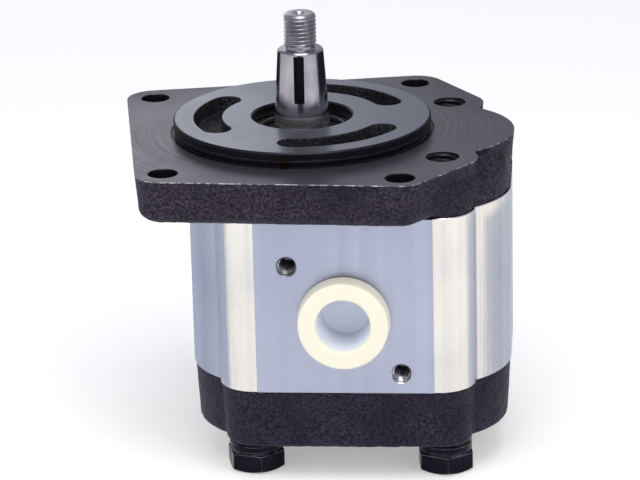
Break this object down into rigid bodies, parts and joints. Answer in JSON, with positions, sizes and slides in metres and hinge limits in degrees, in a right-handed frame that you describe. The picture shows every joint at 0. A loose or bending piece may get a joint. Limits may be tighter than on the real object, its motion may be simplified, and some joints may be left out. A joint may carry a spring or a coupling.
{
  "type": "hydraulic gear pump",
  "caption": "External gear pump: cast mounting flange with round pilot and tapered drive shaft, extruded aluminium body with plugged side ports, cast rear cover on hex bolts.",
  "frame": {"origin": "the centre of the bounding box, at the level of the bolt heads' undersides, on which the pump stands", "axes": "+Z along both gear axes, from the bolt heads to the threaded shaft end; +X from the drive gear to the driven gear; -Y out of the outlet port"},
  "size_m": [0.1242, 0.1154, 0.137],
  "materials": {
    "cast_iron_flange": "machined grey face, rough dark cast sides, light oil film",
    "cast_iron_cover": "rough dark casting",
    "aluminium_body": "satin extruded aluminium with fine lengthwise draw lines",
    "aluminium_block": "machined",
    "ground_steel": "ground, bright",
    "hardened_steel": "ground",
    "spring_steel": "phosphated spring steel",
    "black_oxide_steel": "black oxide with worn bright edges",
    "bearing_bronze": "lined bearing bush",
    "seal_rubber": "black nitrile rubber",
    "plug_plastic": "natural cream polyethylene"
  },
  "bodies": {
    "housing": {"front_flange": "cast_iron_flange", "pump_body": "aluminium_body", "rear_cover": "cast_iron_cover", "front_bearing_block": "aluminium_block", "front_drive_bush": "bearing_bronze", "front_driven_bush": "bearing_bronze", "front_body_seal": "seal_rubber", "front_pressure_seal": "seal_rubber", "front_dowel_left": "hardened_steel", "front_dowel_right": "hardened_steel", "rear_bearing_block": "aluminium_block", "rear_drive_bush": "bearing_bronze", "rear_driven_bush": "bearing_bronze", "rear_body_seal": "seal_rubber", "rear_pressure_seal": "seal_rubber", "rear_dowel_left": "hardened_steel", "rear_dowel_right": "hardened_steel", "shaft_seal": "seal_rubber", "seal_circlip": "spring_steel", "body_bolt_front_left": "black_oxide_steel", "spring_washer_front_left": "black_oxide_steel", "plain_washer_front_left": "black_oxide_steel", "body_bolt_front_right": "black_oxide_steel", "spring_washer_front_right": "black_oxide_steel", "plain_washer_front_right": "black_oxide_steel", "body_bolt_back_right": "black_oxide_steel", "spring_washer_back_right": "black_oxide_steel", "plain_washer_back_right": "black_oxide_steel", "body_bolt_back_left": "black_oxide_steel", "spring_washer_back_left": "black_oxide_steel", "plain_washer_back_left": "black_oxide_steel"},
    "drive_gear": {"drive_gear_shaft": "ground_steel"},
    "driven_gear": {"driven_gear_shaft": "hardened_steel"},
    "outlet_plug": {"outlet_port_plug": "plug_plastic"},
    "inlet_plug": {"inlet_port_plug": "plug_plastic"}
  },
  "joints": [
    {"name": "drive_spin", "type": "hinge", "parent": "housing", "child": "drive_gear", "pos_m": [-0.00326, -0.00085, 0.0545], "axis": [0, 0, 1], "continuous": true},
    {"name": "driven_spin", "type": "hinge", "parent": "housing", "child": "driven_gear", "pos_m": [0.02674, -0.00085, 0.0545], "axis": [0, 0, 1], "continuous": true},
    {"name": "outlet_plug_pull", "type": "slide", "parent": "housing", "child": "outlet_plug", "axis": [0, -1, 0], "range_m": [0, 0.03]},
    {"name": "inlet_plug_pull", "type": "slide", "parent": "housing", "child": "inlet_plug", "axis": [0, 1, 0], "range_m": [0, 0.03]}
  ],
  "couplings": [
    {"joint": "driven_spin", "follows": "drive_spin", "ratio": -1}
  ]
}
